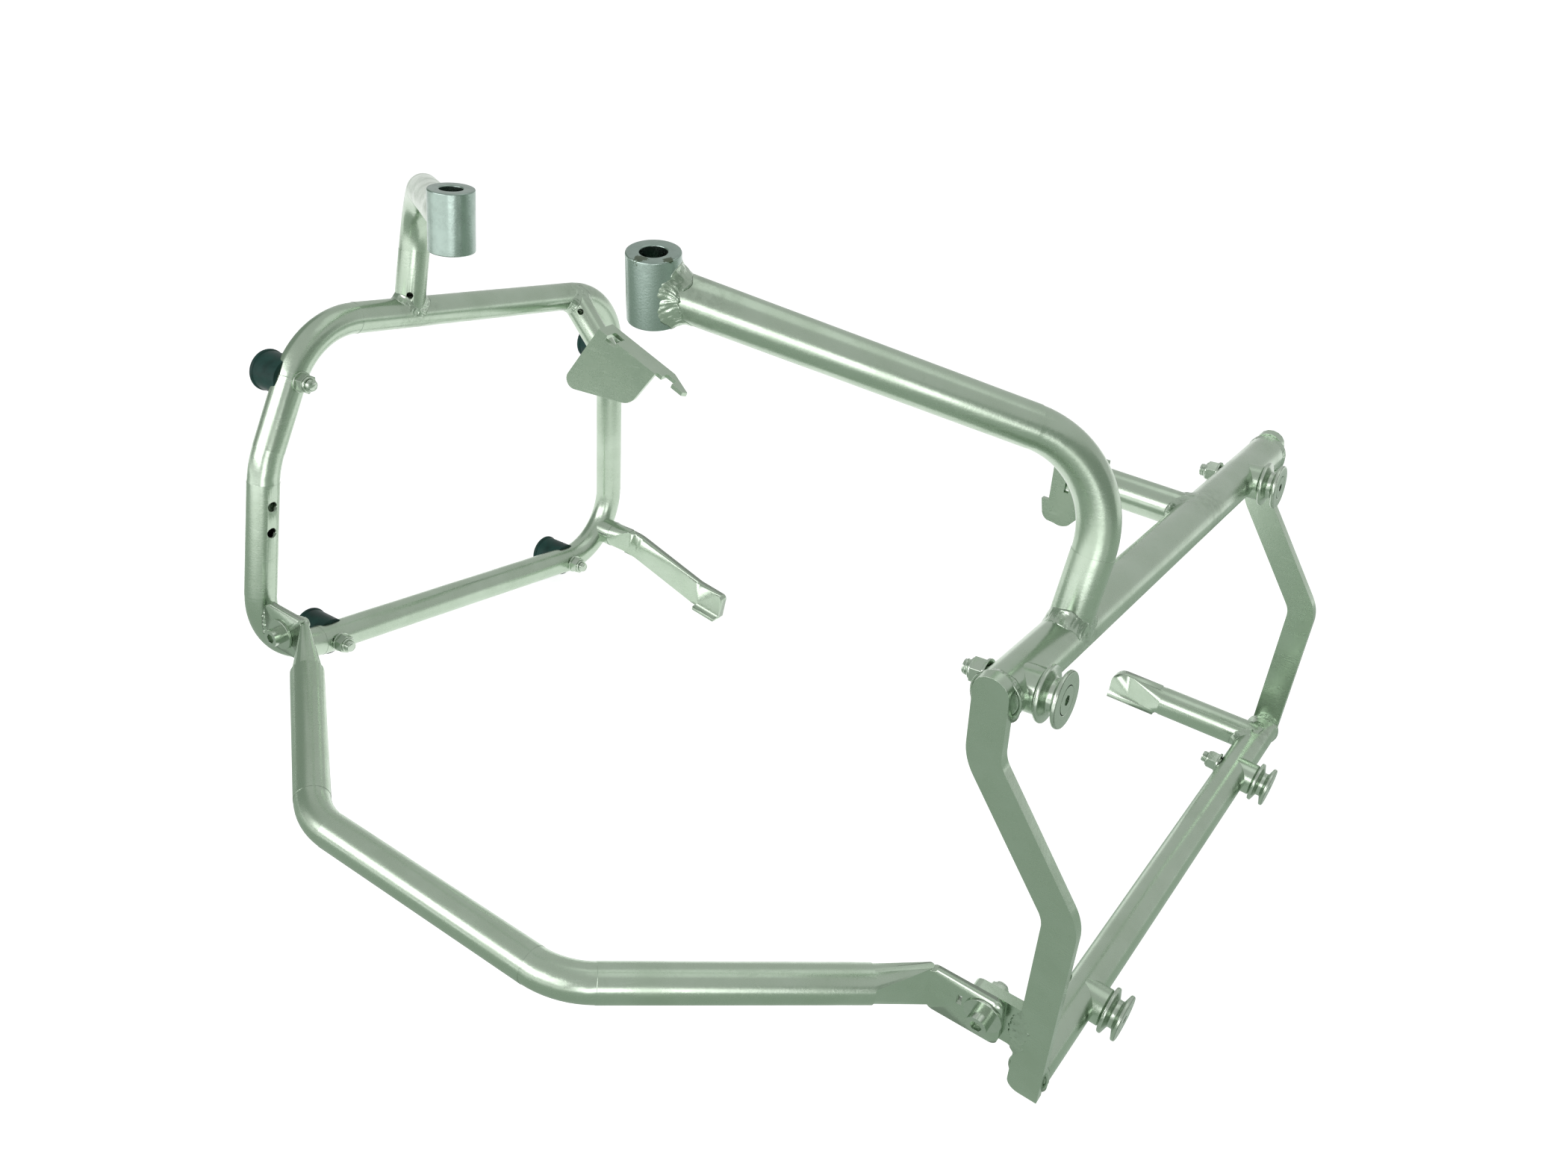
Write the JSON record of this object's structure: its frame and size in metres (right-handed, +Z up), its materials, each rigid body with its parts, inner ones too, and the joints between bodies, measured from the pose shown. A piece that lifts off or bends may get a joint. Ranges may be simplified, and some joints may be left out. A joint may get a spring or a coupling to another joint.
{
  "type": "motorbike pannier frame",
  "caption": "Pair of side case carriers in bent steel tube and cranked plate, with mounting arms, sleeves, spools and pucks, joined behind by a bolted crossbar.",
  "frame": {"origin": "middle of the right mounting sleeve's bore", "axes": "+X to the motorbike's right, across both carriers, +Y forward, +Z up"},
  "size_m": [0.5234, 0.4824, 0.3703],
  "materials": {
    "zinc_steel": "satin zinc plating",
    "turned_steel": "turned and zinc plated",
    "fasteners": "bright zinc plating",
    "rubber": "matt moulded"
  },
  "bodies": {
    "root": {"left_hoop": "zinc_steel", "left_arm": "zinc_steel", "left_sleeve": "turned_steel", "left_front_stub": "zinc_steel", "left_bracket": "zinc_steel", "left_lower_arm": "zinc_steel", "left_tab": "zinc_steel", "left_puck_upper_rear": "rubber", "left_puck_upper_front": "rubber", "left_puck_lower_rear": "rubber", "left_puck_lower_front": "rubber", "left_puck_screws": "fasteners", "left_puck_washers": "fasteners", "left_puck_nuts": "fasteners", "right_upper_tube": "zinc_steel", "right_lower_tube": "zinc_steel", "right_rear_plate": "zinc_steel", "right_front_plate": "zinc_steel", "right_arm": "zinc_steel", "right_sleeve": "turned_steel", "right_front_stub": "zinc_steel", "right_bracket": "zinc_steel", "right_lower_arm": "zinc_steel", "right_tab": "zinc_steel", "right_collar_upper_rear": "zinc_steel", "right_collar_upper_front": "zinc_steel", "right_collar_lower_rear": "zinc_steel", "right_collar_lower_front": "zinc_steel", "right_spool_upper_rear": "turned_steel", "right_spool_upper_front": "turned_steel", "right_spool_lower_rear": "turned_steel", "right_spool_lower_front": "turned_steel", "right_spool_screws": "fasteners", "right_spool_washers": "fasteners", "right_spool_nuts": "fasteners", "crossbar": "zinc_steel", "crossbar_screws": "fasteners", "crossbar_washers": "fasteners", "crossbar_nuts": "fasteners"}
  },
  "joints": []
}
